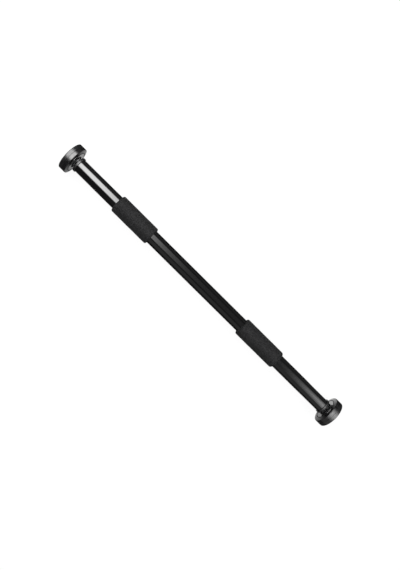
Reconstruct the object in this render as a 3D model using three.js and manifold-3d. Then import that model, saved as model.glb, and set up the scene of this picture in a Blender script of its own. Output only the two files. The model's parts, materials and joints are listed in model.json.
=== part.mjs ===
// A doorway pull-up bar: one steel tube with two foam grips, and at each end a screw-out foot
// that presses on the door jamb. Each foot turns with an M12 stud, which screws out of a
// threaded bush in the tube, and a hexagon nut locks the stud against the tube's end cap.
//
// Units are millimetres. The bar lies along X, with Z up and the origin at the bar's centre.
// The two ends are the same, so each is built once in a group whose local +Y points outwards
// along the bar, and "along" is a distance from the bar's centre.

import * as THREE from 'three';
import { mergeVertices } from 'three/addons/utils/BufferGeometryUtils.js';
import Module from 'manifold-3d';

// Gaps
const FIT = 0.3;             // between pieces that touch, press together or screw together
const NUT_TOOL_ROOM = 2.4;   // round the nut's corners, for a spanner to reach into the pocket

// Bar
const HALF_LENGTH = 354.1;   // from the centre to a foot's outer face, with the foot screwed in
const TUBE_RADIUS = 14;
const TUBE_WALL = 1.5;

// Foam grips, each from its low to its high end along X
const GRIP_RADIUS = 18.85;
const GRIP_CORNER = 3.5;
const GRIP_SPANS = { left_grip: [-228.7, -138.7], right_grip: [104.2, 200.7] };

// End cap: a flange on the tube's end and a sleeve inside the tube
const CAP_FLANGE_RADIUS = 15.65;
const CAP_FLANGE_INNER = 327.5;
const CAP_FLANGE_OUTER = 332.3;
const CAP_CORNER = 1.2;
const CAP_SLEEVE_LENGTH = 15.5;
const CAP_BORE_RADIUS = 6.9;

// Screw thread M12 x 1.75, as a plain rod of its outer diameter
const STUD_RADIUS = 6;
const STUD_INNER_END = 252;
const STUD_CHAMFER = 1.2;
const BUSH_LENGTH = 25;
const BUSH_CHAMFER = 1;

// Lock nut
const NUT_ACROSS_FLATS = 19;
const NUT_THICKNESS = 10;
const NUT_FACE_RADIUS = 9.1;
const NUT_CHAMFER = 1.1;
const NUT_REST_GAP = 1.75;   // one turn of the thread, from the cap's face to the nut

// Foot: a shell with a coned back, a back plate, the stud's flange plate and a rubber pad
const FOOT_RADIUS = 29.3;
const FOOT_RIM = 339.0;      // where the coned back meets the foot's side
const FOOT_BACK = 337.3;     // the back's highest ring, nearest the tube
const FOOT_SEAM = 346.2;     // where the shell's side meets the pad's
const FOOT_EDGE = 0.5;
const BACK_PLATE_RADIUS = 20.9;
const BACK_PLATE_THICKNESS = 2.3;
const BACK_GROOVE = 1.4;     // width of the groove round the back plate
const SHELL_WEB = 4.2;
const SHELL_WALL = 2.1;
const FLANGE_PLATE_RADIUS = 25;
const FLANGE_PLATE_THICKNESS = 3;
const PAD_CORNER = 1.4;

// Smoothness
const ROUND_STEPS = 40;
const SMALL_ROUND_STEPS = 24;
const CORNER_STEPS = 2;

// Sizes that follow from those above
const BORE_RADIUS = TUBE_RADIUS - TUBE_WALL;
const INSERT_RADIUS = BORE_RADIUS - FIT;
const THREAD_BORE_RADIUS = STUD_RADIUS + FIT;
const CAP_SLEEVE_INNER = CAP_FLANGE_INNER - CAP_SLEEVE_LENGTH;
const BUSH_OUTER = CAP_SLEEVE_INNER - FIT;
const NUT_INNER = CAP_FLANGE_OUTER + NUT_REST_GAP;
const NUT_CORNER_RADIUS = NUT_ACROSS_FLATS / Math.sqrt(3);
const POCKET_RADIUS = NUT_CORNER_RADIUS + NUT_TOOL_ROOM;
const BACK_PLATE_SEAT = FOOT_BACK + BACK_PLATE_THICKNESS + FIT;
const SHELL_WEB_OUTER = BACK_PLATE_SEAT + SHELL_WEB;
const FLANGE_PLATE_INNER = SHELL_WEB_OUTER + FIT;
const FLANGE_PLATE_OUTER = FLANGE_PLATE_INNER + FLANGE_PLATE_THICKNESS;
const SHELL_INNER_RADIUS = FOOT_RADIUS - SHELL_WALL;
const RIGHT_ANGLE = Math.PI / 2;

const blackEnamel = { color: 0x0b0b0c, roughness: 0.16, metalness: 0.0 };
const blackFoam = { color: 0x1c1c1d, roughness: 0.95, metalness: 0.0 };
const blackPlastic = { color: 0x111112, roughness: 0.3, metalness: 0.0 };
const blackRubber = { color: 0x141414, roughness: 0.55, metalness: 0.0 };
const blackSteel = { color: 0x1d1d1f, roughness: 0.25, metalness: 0.6 };
const brightZinc = { color: 0xc9ccd0, roughness: 0.3, metalness: 1.0 };

const wasm = await Module();
wasm.setup();

// A named piece of one material.
function piece(name, geometry, finish) {
  const mesh = new THREE.Mesh(geometry, new THREE.MeshStandardMaterial(finish));
  mesh.name = name;
  return mesh;
}

// A solid of revolution about local Y, from [radius, along] points that start and end on the axis.
function turned(profile, steps = ROUND_STEPS) {
  const points = profile.map(([radius, along]) => new THREE.Vector2(radius, along));
  return new THREE.LatheGeometry(points, steps);
}

// The same for a piece with a hole through it, whose profile closes on itself.
function turnedRing(profile, steps = ROUND_STEPS) {
  return turned([...profile, profile[0]], steps);
}

// The points of a quarter-circle corner, going anticlockwise from the given angle.
function corner(centreRadius, centreAlong, size, fromAngle) {
  const points = [];
  for (let step = 0; step <= CORNER_STEPS; step += 1) {
    const angle = fromAngle + (RIGHT_ANGLE * step) / CORNER_STEPS;
    points.push([centreRadius + size * Math.cos(angle), centreAlong + size * Math.sin(angle)]);
  }
  return points;
}

// The two rounded outer corners of a ring, from its low end to its high end.
function roundedSide(radius, low, high, size) {
  return [
    ...corner(radius - size, low + size, size, -RIGHT_ANGLE),
    ...corner(radius - size, high - size, size, 0),
  ];
}

function toSolid(geometry) {
  const bare = geometry.clone();
  bare.deleteAttribute('normal');
  bare.deleteAttribute('uv');
  const merged = mergeVertices(bare, 1e-4);
  return new wasm.Manifold(new wasm.Mesh({
    numProp: 3,
    vertProperties: merged.attributes.position.array,
    triVerts: new Uint32Array(merged.index.array),
  }));
}

function fromSolid(solid) {
  const { vertProperties, triVerts } = solid.getMesh();
  const geometry = new THREE.BufferGeometry();
  geometry.setAttribute('position', new THREE.BufferAttribute(vertProperties, 3));
  geometry.setIndex(new THREE.BufferAttribute(triVerts, 1));
  geometry.computeVertexNormals();
  return geometry;
}

function mainTube() {
  const end = CAP_FLANGE_INNER - FIT;
  return turnedRing([[BORE_RADIUS, -end], [TUBE_RADIUS, -end], [TUBE_RADIUS, end], [BORE_RADIUS, end]]);
}

function grip([low, high]) {
  const bore = TUBE_RADIUS + FIT;
  return turnedRing([[bore, low], ...roundedSide(GRIP_RADIUS, low, high, GRIP_CORNER), [bore, high]]);
}

function endCap() {
  return turnedRing([
    [CAP_BORE_RADIUS, CAP_SLEEVE_INNER],
    [INSERT_RADIUS, CAP_SLEEVE_INNER],
    [INSERT_RADIUS, CAP_FLANGE_INNER],
    ...roundedSide(CAP_FLANGE_RADIUS, CAP_FLANGE_INNER, CAP_FLANGE_OUTER, CAP_CORNER),
    [CAP_BORE_RADIUS, CAP_FLANGE_OUTER],
  ]);
}

function threadedBush() {
  const inner = BUSH_OUTER - BUSH_LENGTH;
  return turnedRing([
    [THREAD_BORE_RADIUS, inner],
    [INSERT_RADIUS - BUSH_CHAMFER, inner],
    [INSERT_RADIUS, inner + BUSH_CHAMFER],
    [INSERT_RADIUS, BUSH_OUTER],
    [THREAD_BORE_RADIUS, BUSH_OUTER],
  ], SMALL_ROUND_STEPS);
}

function stud() {
  return turned([
    [0, STUD_INNER_END],
    [STUD_RADIUS - STUD_CHAMFER, STUD_INNER_END],
    [STUD_RADIUS, STUD_INNER_END + STUD_CHAMFER],
    [STUD_RADIUS, FLANGE_PLATE_OUTER],
    [0, FLANGE_PLATE_OUTER],
  ], SMALL_ROUND_STEPS);
}

// A hexagon with a corner up and a bore, its corners cut back by a turned shape at both faces.
function lockNut() {
  const outline = new THREE.Shape();
  for (let index = 0; index < 6; index += 1) {
    const angle = ((index + 0.5) * Math.PI) / 3;
    const x = NUT_CORNER_RADIUS * Math.cos(angle);
    const y = NUT_CORNER_RADIUS * Math.sin(angle);
    if (index === 0) outline.moveTo(x, y);
    else outline.lineTo(x, y);
  }
  outline.closePath();
  const bore = new THREE.Path();
  bore.absarc(0, 0, THREAD_BORE_RADIUS, 0, 2 * Math.PI, true);
  outline.holes.push(bore);
  const prism = new THREE.ExtrudeGeometry(outline, {
    depth: NUT_THICKNESS,
    bevelEnabled: false,
    curveSegments: SMALL_ROUND_STEPS,
  });
  prism.rotateX(-RIGHT_ANGLE);
  prism.translate(0, NUT_INNER, 0);
  const outer = NUT_INNER + NUT_THICKNESS;
  const cutRadius = NUT_CORNER_RADIUS + FIT;
  const cut = turned([
    [0, NUT_INNER],
    [NUT_FACE_RADIUS, NUT_INNER],
    [cutRadius, NUT_INNER + NUT_CHAMFER],
    [cutRadius, outer - NUT_CHAMFER],
    [NUT_FACE_RADIUS, outer],
    [0, outer],
  ]);
  return fromSolid(toSolid(prism).intersect(toSolid(cut)));
}

// The steel disc that the stud's outer end is fixed in.
function flangePlate() {
  return turnedRing([
    [THREAD_BORE_RADIUS, FLANGE_PLATE_INNER],
    [FLANGE_PLATE_RADIUS, FLANGE_PLATE_INNER],
    [FLANGE_PLATE_RADIUS, FLANGE_PLATE_OUTER],
    [THREAD_BORE_RADIUS, FLANGE_PLATE_OUTER],
  ]);
}

function backPlate() {
  const outer = FOOT_BACK + BACK_PLATE_THICKNESS;
  return turnedRing([
    [POCKET_RADIUS, FOOT_BACK],
    [BACK_PLATE_RADIUS - FOOT_EDGE, FOOT_BACK],
    [BACK_PLATE_RADIUS, FOOT_BACK + FOOT_EDGE],
    [BACK_PLATE_RADIUS, outer],
    [POCKET_RADIUS, outer],
  ]);
}

// A dish: its coned back faces the tube, and the pad closes its open side.
function footShell() {
  const lipRadius = BACK_PLATE_RADIUS + BACK_GROOVE;
  return turnedRing([
    [POCKET_RADIUS, BACK_PLATE_SEAT],
    [lipRadius, BACK_PLATE_SEAT],
    [lipRadius, FOOT_BACK],
    [FOOT_RADIUS - FOOT_EDGE, FOOT_RIM],
    [FOOT_RADIUS, FOOT_RIM + FOOT_EDGE],
    [FOOT_RADIUS, FOOT_SEAM],
    [SHELL_INNER_RADIUS, FOOT_SEAM],
    [SHELL_INNER_RADIUS, SHELL_WEB_OUTER],
    [POCKET_RADIUS, SHELL_WEB_OUTER],
  ]);
}

// The rubber pad, with a lip round the flange plate that presses into the shell.
function footPad() {
  const recessRadius = FLANGE_PLATE_RADIUS + FIT;
  const lipRadius = SHELL_INNER_RADIUS - FIT;
  const seam = FOOT_SEAM + FIT;
  return turned([
    [0, FLANGE_PLATE_OUTER + FIT],
    [recessRadius, FLANGE_PLATE_OUTER + FIT],
    [recessRadius, FLANGE_PLATE_INNER],
    [lipRadius, FLANGE_PLATE_INNER],
    [lipRadius, seam],
    [FOOT_RADIUS, seam],
    ...corner(FOOT_RADIUS - PAD_CORNER, HALF_LENGTH - PAD_CORNER, PAD_CORNER, 0),
    [0, HALF_LENGTH],
  ]);
}

// Everything at one end of the bar, with local +Y pointing outwards.
function barEnd(side) {
  const end = new THREE.Group();
  end.add(
    piece(`${side}_end_cap`, endCap(), blackPlastic),
    piece(`${side}_threaded_bush`, threadedBush(), brightZinc),
    piece(`${side}_stud`, stud(), brightZinc),
    piece(`${side}_lock_nut`, lockNut(), brightZinc),
    piece(`${side}_flange_plate`, flangePlate(), brightZinc),
    piece(`${side}_back_plate`, backPlate(), blackSteel),
    piece(`${side}_foot_shell`, footShell(), blackPlastic),
    piece(`${side}_foot_pad`, footPad(), blackRubber),
  );
  return end;
}

const bar = new THREE.Group();

const middle = new THREE.Group();
middle.rotation.z = -RIGHT_ANGLE;
middle.add(piece('main_tube', mainTube(), blackEnamel));
for (const [name, span] of Object.entries(GRIP_SPANS)) {
  middle.add(piece(name, grip(span), blackFoam));
}

const leftEnd = barEnd('left');
leftEnd.rotation.z = RIGHT_ANGLE;
const rightEnd = barEnd('right');
rightEnd.rotation.z = -RIGHT_ANGLE;

bar.add(middle, leftEnd, rightEnd);

export default bar;
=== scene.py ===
"""The looks of a doorway pull-up bar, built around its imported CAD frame.

Every visible piece stands for one CAD node: it is made at that node's place, read from the frame,
and rides on that node's body. The bar lies along X, and "along" is a distance from its centre.
"""

import json
import math

import bmesh
import bpy
from mathutils import Matrix, Vector, noise


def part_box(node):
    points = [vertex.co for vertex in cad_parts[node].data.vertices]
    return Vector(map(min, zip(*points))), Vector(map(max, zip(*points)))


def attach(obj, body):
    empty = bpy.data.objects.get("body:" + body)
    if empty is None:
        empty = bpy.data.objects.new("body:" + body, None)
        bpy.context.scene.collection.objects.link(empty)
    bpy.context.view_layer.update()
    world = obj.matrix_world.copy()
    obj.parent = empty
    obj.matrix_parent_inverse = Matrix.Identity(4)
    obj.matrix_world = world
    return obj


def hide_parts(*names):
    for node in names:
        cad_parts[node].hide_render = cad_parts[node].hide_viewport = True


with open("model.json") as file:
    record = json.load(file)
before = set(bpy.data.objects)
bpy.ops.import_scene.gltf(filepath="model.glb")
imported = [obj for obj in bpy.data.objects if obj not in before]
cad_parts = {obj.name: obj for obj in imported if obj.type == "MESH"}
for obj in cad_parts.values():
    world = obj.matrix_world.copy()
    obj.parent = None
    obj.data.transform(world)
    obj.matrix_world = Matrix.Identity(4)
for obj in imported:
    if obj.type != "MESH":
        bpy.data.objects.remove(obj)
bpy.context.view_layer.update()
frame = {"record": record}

MM = 0.001
SIDES = {"left": -1, "right": 1}

# Camera, in metres from the bar's centre, looking down on the bar as it lies on the floor
CAMERA_PLACE = Vector((-0.0789, 0.0, 1.0559))
CAMERA_AIM = Vector((-0.0087, -0.0005, 0.0))
CAMERA_LENS = 34.83
BAR_SLOPE = math.radians(44.74)

# Brightness of the softboxes over their size, as (share of the size, share of the full brightness)
KEY_ALONG = (
    (0.0, 0.0), (0.15, 0.66), (0.385, 0.66), (0.415, 1.0), (0.46, 1.0), (0.5, 0.84), (0.56, 0.425),
    (0.627, 0.141), (0.653, 0.085), (0.679, 0.057), (0.705, 0.035), (0.743, 0.016), (0.8, 0.011),
    (1.0, 0.011),
)
KEY_ACROSS = ((0.0, 0.0), (0.08, 0.3), (0.2, 1.0), (0.76, 1.0), (0.86, 0.15), (1.0, 0.0))
RIM_ALONG = (
    (0.0, 0.0), (0.06, 0.01), (0.1, 0.019), (0.13, 0.033), (0.2, 0.115), (0.25, 0.21), (0.3, 0.3),
    (0.34, 0.28), (0.42, 0.75), (0.48, 1.0), (0.85, 1.0), (1.0, 0.0),
)
RIM_ACROSS = (
    (0.0, 0.0), (0.08, 0.09), (0.27, 0.38), (0.41, 0.83), (0.54, 1.0), (0.67, 0.54), (0.85, 0.1), (1.0, 0.0),
)
EVEN = ((0.0, 1.0), (1.0, 1.0))

# The softboxes, as (name, centre, size along and across the bar, power, brightness along and across)
SOFTBOXES = (
    ("key_softbox", (-0.5, 0.48, 1.5), (2.3, 2.8), 362.0, KEY_ALONG, KEY_ACROSS),
    ("rim_softbox", (1.15, 0.3, 1.5), (1.2, 3.4), 233.0, RIM_ALONG, RIM_ACROSS),
    ("front_card", (0.6, -1.1, 0.55), (2.0, 1.3), 2.9, EVEN, EVEN),
    ("rear_card", (0.0, 1.4, 0.1), (3.0, 0.7), 1.0, EVEN, EVEN),
)

# Small cards under the feet, as (x, y, strength), and their brightness along the bar
REFLECTORS = ((-0.32, 0.0225, 0.9), (-0.32, -0.0225, 0.6), (0.32, 0.0225, 1.7), (0.32, -0.0225, 1.0))
REFLECTOR_HEIGHT = -0.04
REFLECTOR_SIZE = (0.08, 0.045)
REFLECTOR_FADE = ((0.0, 0.0), (0.3, 1.0), (0.7, 1.0), (1.0, 0.0))

# The floor, and the brightness of the floor and the surroundings
FLOOR_SIZE = (40, 40)
FLOOR_GLOW = 0.93
WHITE_AROUND = 0.96
ROOM_IN_GLOSS = 0.06

# Thread M12 x 1.75
PITCH = 1.75 * MM
THREAD_DEPTH = 1.07 * MM

# Sizes inside the pieces, which the frame's boxes don't give
TUBE_WALL = 1.5 * MM
CAP_BORE = 6.9 * MM
NUT_FACE_SHARE = 0.955       # radius of the nut's flat face, as a share of half its flat width
NUT_TOOL_ROOM = 2.4 * MM     # round the nut's corners, for a spanner to reach into the pocket
FOOT_CONE_RISE = 1.7 * MM    # from the foot's rim to the highest ring of its back
FOOT_GROOVE = 1.4 * MM       # width of the groove round the back plate
FOOT_WALL = 2.1 * MM

# Foam grips. The noise scales are in cycles a metre
FOAM_CORNER = 3.4 * MM
FOAM_STEPS_AROUND = 220
FOAM_STEPS_ALONG = 150
FOAM_STEPS_END = 9
FOAM_SINK = 0.28 * MM        # depth of the skin below the CAD's surface, before the noise
FOAM_WAVE_SCALE, FOAM_WAVE = 55, 0.16 * MM
FOAM_RIPPLE_SCALE, FOAM_RIPPLE = 420, 0.04 * MM
FOAM_DIMPLE_SCALE, FOAM_DIMPLE = 520, 0.16 * MM

# Grip rings in the pads' faces
RING_SHARES = (0.83, 0.67, 0.51, 0.35)   # of the foot's radius
RING_DEPTH = 0.8 * MM
RING_HALF_WIDTH = 0.8 * MM
RING_FLOOR = 0.6             # half width at the ring's floor, as a share of that at the face

# Fineness of the turned meshes
TURN_STEPS = 128
FOOT_TURN_STEPS = 160
CORNER_STEPS = 5
EDGE_HOLD = 0.2              # distance from an arc to the point that holds its edge, in arc radii
ON_AXIS = 1e-7               # an outline point nearer the axis than this is on it

NODE_BODY = {
    node: body
    for body, nodes in frame["record"]["behaviour"]["bodies"].items()
    for node in nodes
}
NODE_SLOT = {part["node"]: part["material_slot"] for part in frame["record"]["subparts"]}


# ---------------------------------------------------------------- materials


def new_material(name, base, roughness, metallic=0.0, ior=1.5):
    """A Principled material and its nodes, with its constant values on the shader's own sockets.

    Where nodes vary the base colour or roughness, the value here is a middle one, for a viewer that
    doesn't read nodes.
    """
    material = bpy.data.materials.new(name)
    material.use_nodes = True
    shader = material.node_tree.nodes["Principled BSDF"]
    shader.inputs["Base Color"].default_value = (*base, 1.0)
    shader.inputs["Roughness"].default_value = roughness
    shader.inputs["Metallic"].default_value = metallic
    shader.inputs["IOR"].default_value = ior
    return material, material.node_tree, shader


def add_noise(tree, scale, detail=4.0, roughness=0.5, stretch=(1.0, 1.0, 1.0)):
    """A noise texture in object space, with its scale in cycles a metre."""
    place = tree.nodes.new("ShaderNodeTexCoord")
    mapping = tree.nodes.new("ShaderNodeMapping")
    mapping.inputs["Scale"].default_value = stretch
    texture = tree.nodes.new("ShaderNodeTexNoise")
    texture.inputs["Scale"].default_value = scale
    texture.inputs["Detail"].default_value = detail
    texture.inputs["Roughness"].default_value = roughness
    tree.links.new(place.outputs["Object"], mapping.inputs["Vector"])
    tree.links.new(mapping.outputs["Vector"], texture.inputs["Vector"])
    return texture.outputs["Fac"]


def add_cells(tree, scale):
    """A cell texture in object space, giving the distance from each cell's middle."""
    place = tree.nodes.new("ShaderNodeTexCoord")
    texture = tree.nodes.new("ShaderNodeTexVoronoi")
    texture.inputs["Scale"].default_value = scale
    tree.links.new(place.outputs["Object"], texture.inputs["Vector"])
    return texture.outputs["Distance"]


def add_range(tree, value, low, high):
    """A noise value's usual range, 0.3 to 0.7, moved to low to high and clamped."""
    node = tree.nodes.new("ShaderNodeMapRange")
    node.inputs["From Min"].default_value = 0.3
    node.inputs["From Max"].default_value = 0.7
    node.inputs["To Min"].default_value = low
    node.inputs["To Max"].default_value = high
    tree.links.new(value, node.inputs["Value"])
    return node.outputs["Result"]


def add_ramp(tree, value, stops):
    """A colour ramp through (position, colour) stops."""
    node = tree.nodes.new("ShaderNodeValToRGB")
    ramp = node.color_ramp
    while len(ramp.elements) < len(stops):
        ramp.elements.new(1.0)
    for element, (position, colour) in zip(ramp.elements, stops):
        element.position = position
        element.color = (*colour, 1.0)
    tree.links.new(value, node.inputs["Fac"])
    return node.outputs["Color"]


def add_product(tree, first, second):
    """Two colours multiplied."""
    node = tree.nodes.new("ShaderNodeVectorMath")
    node.operation = "MULTIPLY"
    tree.links.new(first, node.inputs[0])
    tree.links.new(second, node.inputs[1])
    return node.outputs["Vector"]


def add_bump(tree, shader, heights):
    """Bumps stacked on the shader's normal, from (height, distance in metres, strength)."""
    normal = None
    for height, distance, strength in heights:
        node = tree.nodes.new("ShaderNodeBump")
        node.inputs["Distance"].default_value = distance
        node.inputs["Strength"].default_value = strength
        tree.links.new(height, node.inputs["Height"])
        if normal is not None:
            tree.links.new(normal, node.inputs["Normal"])
        normal = node.outputs["Normal"]
    tree.links.new(normal, shader.inputs["Normal"])


def smooth_black(name, base, roughness, unevenness, grain, ior=1.5):
    """A smooth black finish, with gloss that varies over it and a fine grain.

    The roughness is (low, middle, high), the unevenness holds the arguments of its noise, and the
    grain is (scale, distance, strength).
    """
    low, middle, high = roughness
    material, tree, shader = new_material(name, base, middle, ior=ior)
    gloss = add_noise(tree, **unevenness)
    tree.links.new(add_range(tree, gloss, low, high), shader.inputs["Roughness"])
    scale, distance, strength = grain
    add_bump(tree, shader, [(add_noise(tree, scale, detail=2.0), distance, strength)])
    return material


def black_enamel():
    """Gloss stoved enamel on the tube: a little haze that varies, and a faint orange peel."""
    haze = {"scale": 60.0, "detail": 3.0, "stretch": (0.25, 1.0, 1.0)}
    peel = (700.0, 0.00002, 0.25)
    return smooth_black("black_enamel", (0.0012, 0.0012, 0.0013), (0.09, 0.12, 0.14), haze, peel)


def black_plastic():
    """Gloss moulded plastic, with a fine grain and slightly uneven gloss."""
    clouds = {"scale": 180.0}
    grain = (2600.0, 0.00003, 0.2)
    return smooth_black("black_plastic", (0.002, 0.002, 0.0022), (0.2, 0.26, 0.32), clouds, grain)


def satin_plastic():
    """The end caps' plastic, duller than the feet's."""
    clouds = {"scale": 220.0}
    grain = (2600.0, 0.00003, 0.25)
    return smooth_black("satin_plastic", (0.002, 0.002, 0.0022), (0.38, 0.44, 0.5), clouds, grain)


def black_steel():
    """Black plating, glossier than the plastic round it."""
    clouds = {"scale": 260.0}
    peel = (900.0, 0.00002, 0.2)
    return smooth_black("black_steel", (0.0015, 0.0015, 0.0016), (0.1, 0.14, 0.18), clouds, peel, 1.9)


def black_rubber():
    """Satin moulded rubber, a little greyer where it has been handled."""
    material, tree, shader = new_material("black_rubber", (0.004, 0.004, 0.0042), 0.32)
    wear = add_noise(tree, 90.0, detail=5.0, roughness=0.6)
    tree.links.new(
        add_ramp(tree, wear, [(0.35, (0.002, 0.002, 0.0022)), (0.75, (0.006, 0.006, 0.0063))]),
        shader.inputs["Base Color"],
    )
    tree.links.new(add_range(tree, wear, 0.26, 0.38), shader.inputs["Roughness"])
    grain = add_noise(tree, 2200.0, detail=3.0)
    add_bump(tree, shader, [(grain, 0.00004, 0.25)])
    return material


def bright_zinc():
    """Zinc plating: grey metal with cloudy colour, turned marks and a broken gloss."""
    material, tree, shader = new_material("bright_zinc", (0.3, 0.305, 0.31), 0.27, metallic=1.0)
    cloud = add_noise(tree, 420.0, detail=5.0, roughness=0.6)
    tree.links.new(
        add_ramp(
            tree,
            cloud,
            [(0.3, (0.24, 0.25, 0.26)), (0.55, (0.3, 0.305, 0.31)), (0.8, (0.36, 0.355, 0.34))],
        ),
        shader.inputs["Base Color"],
    )
    tree.links.new(add_range(tree, cloud, 0.2, 0.34), shader.inputs["Roughness"])
    marks = add_noise(tree, 900.0, detail=3.0, stretch=(6.0, 1.0, 1.0))
    add_bump(tree, shader, [(marks, 0.00001, 0.15)])
    return material


def painted_shade_zinc():
    """The stud's disc, deep in the foot: the same plating, matt, and its colour darkened as painted shade
    for the bottom of the pocket.
    """
    material, tree, shader = new_material("painted_shade_zinc", (0.06, 0.06, 0.062), 0.5, metallic=1.0)
    cloud = add_noise(tree, 300.0, detail=5.0, roughness=0.6)
    tree.links.new(
        add_ramp(tree, cloud, [(0.3, (0.04, 0.04, 0.042)), (0.7, (0.08, 0.08, 0.08))]),
        shader.inputs["Base Color"],
    )
    marks = add_noise(tree, 900.0, detail=3.0)
    add_bump(tree, shader, [(marks, 0.00003, 0.3)])
    return material


def black_foam():
    """Foam: fine pits between the cells, darkened with painted shade, in a skin that is mottled at a larger
    scale.
    """
    material, tree, shader = new_material("black_foam", (0.0036, 0.0036, 0.0038), 0.6)
    shader.inputs["Specular IOR Level"].default_value = 0.08
    shader.inputs["Sheen Weight"].default_value = 0.02
    shader.inputs["Sheen Roughness"].default_value = 0.5
    mottle = add_ramp(
        tree,
        add_noise(tree, 230.0, detail=5.0, roughness=0.65),
        [
            (0.3, (0.0032, 0.0032, 0.0034)),
            (0.5, (0.0052, 0.0052, 0.0054)),
            (0.72, (0.009, 0.009, 0.0094)),
        ],
    )
    cells = add_cells(tree, 1300.0)
    # Painted shade: the colour darkens towards each cell's middle, where the bump below sinks a pit.
    painted_pit_shade = add_ramp(tree, cells, [(0.15, (0.15, 0.15, 0.15)), (0.42, (1.0, 1.0, 1.0))])
    tree.links.new(add_product(tree, mottle, painted_pit_shade), shader.inputs["Base Color"])
    grain = add_noise(tree, 3200.0, detail=2.0)
    add_bump(tree, shader, [(cells, 0.0004, 0.8), (grain, 0.0001, 0.4)])
    return material


MATERIALS = {
    maker.__name__: maker()
    for maker in (
        black_enamel,
        black_plastic,
        satin_plastic,
        black_rubber,
        black_steel,
        bright_zinc,
        painted_shade_zinc,
        black_foam,
    )
}


# ---------------------------------------------------------------- mesh making


def finish_mesh(name, mesh_data, sharp_angle=math.radians(35)):
    """An object from a bmesh: outward faces, smooth except at edges sharper than the angle."""
    bmesh.ops.recalc_face_normals(mesh_data, faces=mesh_data.faces)
    mesh = bpy.data.meshes.new(name)
    mesh_data.to_mesh(mesh)
    mesh_data.free()
    mesh.polygons.foreach_set("use_smooth", [True] * len(mesh.polygons))
    mesh.set_sharp_from_angle(angle=sharp_angle)
    obj = bpy.data.objects.new(name, mesh)
    bpy.context.scene.collection.objects.link(obj)
    return obj


def rounded(corners):
    """A closed outline from (along, radius, corner radius) corners, with each corner as an arc.

    A point just before and just after each arc keeps the faces next to it flat in their shading.
    """
    outline = []
    count = len(corners)
    for index, (along, radius, size) in enumerate(corners):
        here = Vector((along, radius))
        if size == 0:
            outline.append(here)
            continue
        before = Vector(corners[index - 1][:2]) - here
        after = Vector(corners[(index + 1) % count][:2]) - here
        half = before.angle(after) / 2
        back_off = size / math.tan(half)
        centre = here + (before.normalized() + after.normalized()).normalized() * (size / math.sin(half))
        start = here + before.normalized() * back_off - centre
        end = here + after.normalized() * back_off - centre
        sweep = start.angle_signed(end)
        outline.append(centre + start + before.normalized() * size * EDGE_HOLD)
        for step in range(CORNER_STEPS + 1):
            turn = -sweep * step / CORNER_STEPS
            outline.append(centre + Matrix.Rotation(turn, 2) @ start)
        outline.append(centre + end + after.normalized() * size * EDGE_HOLD)
    return outline


def join_rings(mesh_data, rings):
    """Faces between each ring of vertices and the next, and between the last and the first."""
    count = len(rings[0])
    for first, second in zip(rings, rings[1:] + rings[:1]):
        for step in range(count):
            following = (step + 1) % count
            quad = [first[step], first[following], second[following], second[step]]
            distinct = list(dict.fromkeys(quad))
            if len(distinct) > 2:
                mesh_data.faces.new(distinct)


def turned(name, corners, side, steps=TURN_STEPS):
    """A solid of revolution about X. Outline points on the axis become one vertex each."""
    mesh_data = bmesh.new()
    outline = rounded(corners)
    rings = []
    for along, radius in outline:
        if radius < ON_AXIS:
            rings.append([mesh_data.verts.new((side * along, 0, 0))] * steps)
            continue
        rings.append([
            mesh_data.verts.new((
                side * along,
                radius * math.cos(2 * math.pi * step / steps),
                radius * math.sin(2 * math.pi * step / steps),
            ))
            for step in range(steps)
        ])
    join_rings(mesh_data, rings)
    return finish_mesh(name, mesh_data)


def install(obj, node, material=None):
    """Gives a piece its material, and lets it stand for its CAD node on that node's body."""
    slot = NODE_SLOT[node]
    obj.data.materials.append(MATERIALS[material or slot])
    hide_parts(node)
    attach(obj, NODE_BODY[node])


def span(node):
    """(inner end, outer end, radius) of a node, as distances from the bar's centre and axis."""
    low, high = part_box(node)
    ends = sorted((abs(low.x), abs(high.x)))
    return ends[0], ends[1], high.y


# ---------------------------------------------------------------- the bar's pieces


def make_tube():
    low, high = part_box("main_tube")
    bore = high.z - TUBE_WALL
    end_round = 0.3 * MM
    corners = [
        (low.x, bore, end_round),
        (high.x, bore, end_round),
        (high.x, high.z, end_round),
        (low.x, high.z, end_round),
    ]
    install(turned("tube", corners, 1), "main_tube")


def foam_skin(point, direction):
    """A point of the grip's surface, sunk by waves, ripples and dimples along its direction."""
    wave = noise.noise(point * FOAM_WAVE_SCALE) * FOAM_WAVE
    ripple = noise.noise(point * FOAM_RIPPLE_SCALE) * FOAM_RIPPLE
    cell = min(noise.voronoi(point * FOAM_DIMPLE_SCALE)[0][0], 1.0)
    return point - direction * (FOAM_SINK + wave + ripple - FOAM_DIMPLE * cell)


def make_grip(node):
    """A foam sleeve: dimpled all over, gently uneven, with rounded ends."""
    low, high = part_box(node)
    radius = high.z
    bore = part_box("main_tube")[1].z + 0.15 * MM
    low_end = [(low.x, bore)]
    for step in reversed(range(FOAM_STEPS_END + 1)):
        angle = math.pi / 2 * step / FOAM_STEPS_END
        low_end.append((
            low.x + FOAM_CORNER * (1 - math.sin(angle)),
            radius - FOAM_CORNER * (1 - math.cos(angle)),
        ))
    high_end = [(low.x + high.x - along, height) for along, height in reversed(low_end)]
    straight = high.x - low.x - 2 * FOAM_CORNER
    side = [
        (low.x + FOAM_CORNER + straight * step / FOAM_STEPS_ALONG, radius)
        for step in range(1, FOAM_STEPS_ALONG)
    ]
    mesh_data = bmesh.new()
    rings = []
    for along, height in low_end + side + high_end:
        ring = []
        for step in range(FOAM_STEPS_AROUND):
            angle = 2 * math.pi * step / FOAM_STEPS_AROUND
            direction = Vector((0, math.cos(angle), math.sin(angle)))
            point = Vector((along, 0, 0)) + direction * height
            if height > bore:
                point = foam_skin(point, direction)
            ring.append(mesh_data.verts.new(point))
        rings.append(ring)
    join_rings(mesh_data, rings)
    grip = finish_mesh(node + "_foam", mesh_data, math.radians(60))
    install(grip, node)


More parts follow.
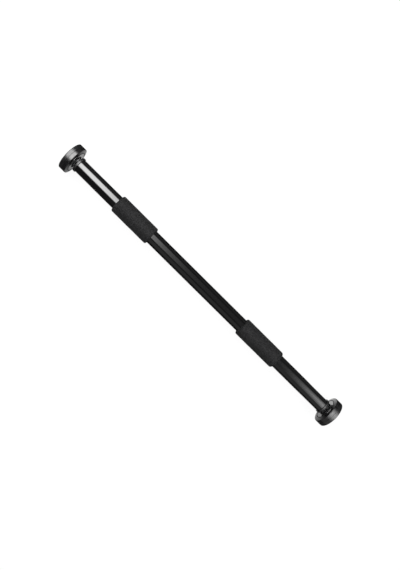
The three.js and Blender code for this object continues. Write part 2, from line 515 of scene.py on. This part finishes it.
def make_end_cap(side_name, side):
    node = f"{side_name}_end_cap"
    inner, outer, radius = span(node)
    sleeve_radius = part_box(f"{side_name}_threaded_bush")[1].y
    flange_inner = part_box("main_tube")[1].x + 0.1 * MM
    corners = [
        (inner, CAP_BORE, 0.3 * MM),
        (inner, sleeve_radius, 0.6 * MM),
        (flange_inner, sleeve_radius, 0),
        (flange_inner, radius, 0.5 * MM),
        (outer, radius, 1.5 * MM),
        (outer, CAP_BORE, 0.5 * MM),
    ]
    install(turned(f"{side_name}_cap", corners, side), node, "satin_plastic")


def make_bush(side_name, side):
    node = f"{side_name}_threaded_bush"
    inner, outer, radius = span(node)
    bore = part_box(f"{side_name}_stud")[1].z + 0.2 * MM
    corners = [
        (inner, bore, 0.4 * MM),
        (inner, radius, 0.8 * MM),
        (outer, radius, 0.8 * MM),
        (outer, bore, 0.4 * MM),
    ]
    install(turned(f"{side_name}_bush", corners, side), node)


def make_stud(side_name, side):
    """A rod with a right-hand helical thread, its crests and roots flat and its ends chamfered."""
    node = f"{side_name}_stud"
    inner, outer, crest = span(node)
    root = crest - THREAD_DEPTH
    end_radius = root - 0.25 * MM
    around = 48
    tooth = [(0.0, root), (0.14, root), (0.5, crest), (0.6, crest)]
    turns = math.ceil((outer - inner) / PITCH) + 2
    points = [
        (inner + (turn - 1 + share) * PITCH, radius)
        for turn in range(turns + 1)
        for share, radius in tooth
    ]
    mesh_data = bmesh.new()
    columns = []
    for step in range(around):
        angle = 2 * math.pi * step / around
        column = []
        for along, radius in points:
            moved = min(max(along + PITCH * step / around, inner), outer)
            height = min(radius, end_radius + min(moved - inner, outer - moved))
            column.append(mesh_data.verts.new((
                side * moved,
                height * math.cos(angle),
                side * height * math.sin(angle),
            )))
        columns.append(column)
    for step in range(around):
        shift = len(tooth) if step == around - 1 else 0
        here, following = columns[step], columns[(step + 1) % around]
        for index in range(len(points) - 1 - shift):
            mesh_data.faces.new((
                here[index],
                here[index + 1],
                following[index + 1 + shift],
                following[index + shift],
            ))
    bmesh.ops.remove_doubles(mesh_data, verts=mesh_data.verts, dist=1e-6)
    bmesh.ops.dissolve_degenerate(mesh_data, edges=mesh_data.edges, dist=1e-7)
    bmesh.ops.holes_fill(mesh_data, edges=mesh_data.edges, sides=0)
    install(finish_mesh(f"{side_name}_threaded_rod", mesh_data, math.radians(25)), node)


def make_nut(side_name, side):
    """A hexagon nut: flat sides, and faces chamfered by a cone, which leaves curved edges."""
    node = f"{side_name}_lock_nut"
    inner, outer, flat = span(node)
    corner_radius = flat / math.cos(math.pi / 6)
    face_radius = flat * NUT_FACE_SHARE
    slope = math.tan(math.radians(30))
    chamfer = (corner_radius - face_radius) * slope
    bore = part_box(f"{side_name}_stud")[1].z + 0.05 * MM
    around = 144
    chamfer_steps = 8
    depths = [chamfer * step / chamfer_steps for step in range(chamfer_steps + 1)]
    rows = [(inner + depth, face_radius + depth / slope) for depth in depths]
    rows += [(outer - depth, face_radius + depth / slope) for depth in reversed(depths)]
    countersink = 0.6 * MM
    rows += [(outer, bore + countersink), (outer - countersink, bore)]
    rows += [(inner + countersink, bore), (inner, bore + countersink)]
    mesh_data = bmesh.new()
    rings = []
    for along, limit in rows:
        ring = []
        for step in range(around):
            angle = 2 * math.pi * step / around
            from_flat = (angle + math.pi / 6) % (math.pi / 3) - math.pi / 6
            radius = min(limit, flat / math.cos(from_flat))
            point = (side * along, radius * math.cos(angle), radius * math.sin(angle))
            ring.append(mesh_data.verts.new(point))
        rings.append(ring)
    join_rings(mesh_data, rings)
    install(finish_mesh(f"{side_name}_hexagon_nut", mesh_data, math.radians(14)), node)


def make_flange_plate(side_name, side):
    node = f"{side_name}_flange_plate"
    inner, outer, radius = span(node)
    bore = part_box(f"{side_name}_stud")[1].z + 0.1 * MM
    edge = 0.4 * MM
    corners = [(inner, bore, edge), (inner, radius, edge), (outer, radius, edge), (outer, bore, edge)]
    # The disc's zinc is darkened as painted shade for the bottom of the foot's pocket.
    install(turned(f"{side_name}_stud_disc", corners, side), node, "painted_shade_zinc")


def pocket_radius(side_name):
    """The round pocket in the foot's back, with room for a spanner round the nut's corners."""
    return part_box(f"{side_name}_lock_nut")[1].z + NUT_TOOL_ROOM


def make_back_plate(side_name, side):
    node = f"{side_name}_back_plate"
    inner, outer, radius = span(node)
    pocket = pocket_radius(side_name)
    corners = [
        (inner, pocket, 0.4 * MM),
        (inner, radius, 0.7 * MM),
        (outer, radius, 0.2 * MM),
        (outer, pocket, 0.2 * MM),
    ]
    install(turned(f"{side_name}_back_ring", corners, side), node)


def make_foot_shell(side_name, side):
    """A dish whose coned back faces the tube, with a groove round the back plate."""
    node = f"{side_name}_foot_shell"
    inner, outer, radius = span(node)
    plate_outer, plate_radius = span(f"{side_name}_back_plate")[1:]
    pocket = pocket_radius(side_name)
    rim = inner + FOOT_CONE_RISE
    lip = plate_radius + FOOT_GROOVE
    web_outer = span(f"{side_name}_flange_plate")[0] - 0.1 * MM
    seat = plate_outer + 0.1 * MM
    corners = [
        (seat, pocket, 0.2 * MM),
        (seat, lip, 0.2 * MM),
        (inner, lip, 0.3 * MM),
        (rim, radius, 0.9 * MM),
        (outer, radius, 0.25 * MM),
        (outer, radius - FOOT_WALL, 0.2 * MM),
        (web_outer, radius - FOOT_WALL, 0.2 * MM),
        (web_outer, pocket, 0.2 * MM),
    ]
    install(turned(f"{side_name}_foot_dish", corners, side, FOOT_TURN_STEPS), node)


def make_foot_pad(side_name, side):
    """The rubber pad, with shallow grip rings cut in its flat outer face."""
    node = f"{side_name}_foot_pad"
    inner, outer, radius = span(node)
    disc_outer, disc_radius = span(f"{side_name}_flange_plate")[1:]
    seam = span(f"{side_name}_foot_shell")[1] + 0.1 * MM
    recess = disc_outer + 0.15 * MM
    recess_radius = disc_radius + 0.2 * MM
    lip = radius - FOOT_WALL - 0.2 * MM
    corners = [
        (recess, 0, 0),
        (recess, recess_radius, 0.2 * MM),
        (inner, recess_radius, 0.2 * MM),
        (inner, lip, 0.2 * MM),
        (seam, lip, 0.2 * MM),
        (seam, radius, 0.25 * MM),
        (outer, radius, 1.4 * MM),
    ]
    for share in RING_SHARES:
        middle = radius * share
        for depth, offset in (
            (0, RING_HALF_WIDTH),
            (RING_DEPTH, RING_HALF_WIDTH * RING_FLOOR),
            (RING_DEPTH, -RING_HALF_WIDTH * RING_FLOOR),
            (0, -RING_HALF_WIDTH),
        ):
            corners.append((outer - depth, middle + offset, 0.2 * MM))
    corners.append((outer, 0, 0))
    install(turned(f"{side_name}_foot_rubber", corners, side, FOOT_TURN_STEPS), node)


make_tube()
make_grip("left_grip")
make_grip("right_grip")
for side_name, side in SIDES.items():
    for make in (
        make_end_cap,
        make_bush,
        make_stud,
        make_nut,
        make_flange_plate,
        make_back_plate,
        make_foot_shell,
        make_foot_pad,
    ):
        make(side_name, side)


# ---------------------------------------------------------------- floor, light and camera


def add_plane(name, centre, size, material):
    """A flat stage piece facing +Z."""
    mesh_data = bmesh.new()
    half_x, half_y = size[0] / 2, size[1] / 2
    corners = ((-half_x, -half_y), (half_x, -half_y), (half_x, half_y), (-half_x, half_y))
    mesh_data.faces.new([mesh_data.verts.new((x, y, 0)) for x, y in corners])
    plane = finish_mesh(name, mesh_data)
    plane.location = centre
    plane.data.materials.append(material)
    return plane


def add_floor():
    """A pale floor that the feet rest on. Gloss doesn't mirror it, as with black flags round the set."""
    material, _, shader = new_material("floor", (0.03, 0.03, 0.03), 0.9)
    shader.inputs["Specular IOR Level"].default_value = 0.0
    shader.inputs["Emission Color"].default_value = (1.0, 1.0, 1.0, 1.0)
    shader.inputs["Emission Strength"].default_value = FLOOR_GLOW
    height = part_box("left_foot_pad")[0].z
    floor = add_plane("floor", (0, 0, height), FLOOR_SIZE, material)
    floor.visible_glossy = False
    floor.visible_diffuse = False


def add_reflector(name, centre, strength):
    """A small lit white card under one side of a foot, seen only as a reflection in the foot's back."""
    material = bpy.data.materials.new(name)
    material.use_nodes = True
    tree = material.node_tree
    tree.nodes.clear()
    place = tree.nodes.new("ShaderNodeTexCoord")
    split = tree.nodes.new("ShaderNodeSeparateXYZ")
    tree.links.new(place.outputs["Generated"], split.inputs["Vector"])
    stops = [(share, (brightness,) * 3) for share, brightness in REFLECTOR_FADE]
    glow = tree.nodes.new("ShaderNodeEmission")
    glow.inputs["Strength"].default_value = strength
    tree.links.new(add_ramp(tree, split.outputs["X"], stops), glow.inputs["Color"])
    output = tree.nodes.new("ShaderNodeOutputMaterial")
    tree.links.new(glow.outputs["Emission"], output.inputs["Surface"])
    card = add_plane(name, centre, REFLECTOR_SIZE, material)
    card.visible_camera = False
    card.visible_diffuse = False
    card.visible_shadow = False


def add_softbox(name, centre, size, power, along_stops, across_stops):
    """A large area light aimed at the bar, its size given as (along the bar, across it).

    Each list of stops shapes its brightness over the light, one along the bar from -X to +X and one
    across it from -Y to +Y, as (share of the size, share of the full brightness) pairs.
    """
    light = bpy.data.lights.new(name, "AREA")
    light.shape = "RECTANGLE"
    light.size, light.size_y = size
    light.energy = power
    light.use_nodes = True
    tree = light.node_tree
    glow = tree.nodes["Emission"]
    place = tree.nodes.new("ShaderNodeNewGeometry")
    split = tree.nodes.new("ShaderNodeSeparateXYZ")
    tree.links.new(place.outputs["Parametric"], split.inputs["Vector"])
    product = tree.nodes.new("ShaderNodeMath")
    product.operation = "MULTIPLY"
    for index, (axis, stops) in enumerate((("X", along_stops), ("Y", across_stops))):
        greys = [(share, (brightness,) * 3) for share, brightness in stops]
        tree.links.new(add_ramp(tree, split.outputs[axis], greys), product.inputs[index])
    tree.links.new(product.outputs["Value"], glow.inputs["Strength"])
    lamp = bpy.data.objects.new(name, light)
    bpy.context.scene.collection.objects.link(lamp)
    across = Vector((0, -centre[2], centre[1])).normalized()
    towards = Vector((0, centre[1], centre[2])).normalized()
    rotation = Matrix((Vector((1, 0, 0)), -across, towards)).transposed()
    lamp.matrix_world = Matrix.Translation(centre) @ rotation.to_4x4()
    lamp.visible_camera = False


def add_world():
    """White behind the object and for fill light, and a dim room for gloss to mirror."""
    world = bpy.data.worlds.new("studio")
    bpy.context.scene.world = world
    world.use_nodes = True
    tree = world.node_tree
    tree.nodes.clear()
    mix = tree.nodes.new("ShaderNodeMixShader")
    for index, strength in enumerate((WHITE_AROUND, ROOM_IN_GLOSS), start=1):
        background = tree.nodes.new("ShaderNodeBackground")
        background.inputs["Color"].default_value = (1.0, 1.0, 1.0, 1.0)
        background.inputs["Strength"].default_value = strength
        tree.links.new(background.outputs["Background"], mix.inputs[index])
    path = tree.nodes.new("ShaderNodeLightPath")
    output = tree.nodes.new("ShaderNodeOutputWorld")
    tree.links.new(path.outputs["Is Glossy Ray"], mix.inputs["Fac"])
    tree.links.new(mix.outputs["Shader"], output.inputs["Surface"])


def add_camera():
    """Looks down on the bar, turned so that the bar falls from the upper left to the lower right."""
    camera_data = bpy.data.cameras.new("camera")
    camera_data.lens = CAMERA_LENS
    camera_data.sensor_width = 36.0
    camera_data.clip_start = 0.01
    camera_data.clip_end = 100.0
    camera = bpy.data.objects.new("camera", camera_data)
    bpy.context.scene.collection.objects.link(camera)
    back = (CAMERA_PLACE - CAMERA_AIM).normalized()
    bar = Vector((1, 0, 0))
    bar = (bar - back * bar.dot(back)).normalized()
    across = back.cross(bar)
    right = bar * math.cos(BAR_SLOPE) + across * math.sin(BAR_SLOPE)
    up = across * math.cos(BAR_SLOPE) - bar * math.sin(BAR_SLOPE)
    rotation = Matrix((right, up, back)).transposed()
    camera.matrix_world = Matrix.Translation(CAMERA_PLACE) @ rotation.to_4x4()
    bpy.context.scene.camera = camera


def set_colour_management():
    view = bpy.context.scene.view_settings
    view.view_transform = "Standard"
    view.look = "None"


add_floor()
for index, (x, y, strength) in enumerate(REFLECTORS, start=1):
    add_reflector(f"reflector_{index}", (x, y, REFLECTOR_HEIGHT), strength)
for softbox in SOFTBOXES:
    add_softbox(*softbox)
add_world()
add_camera()
set_colour_management()
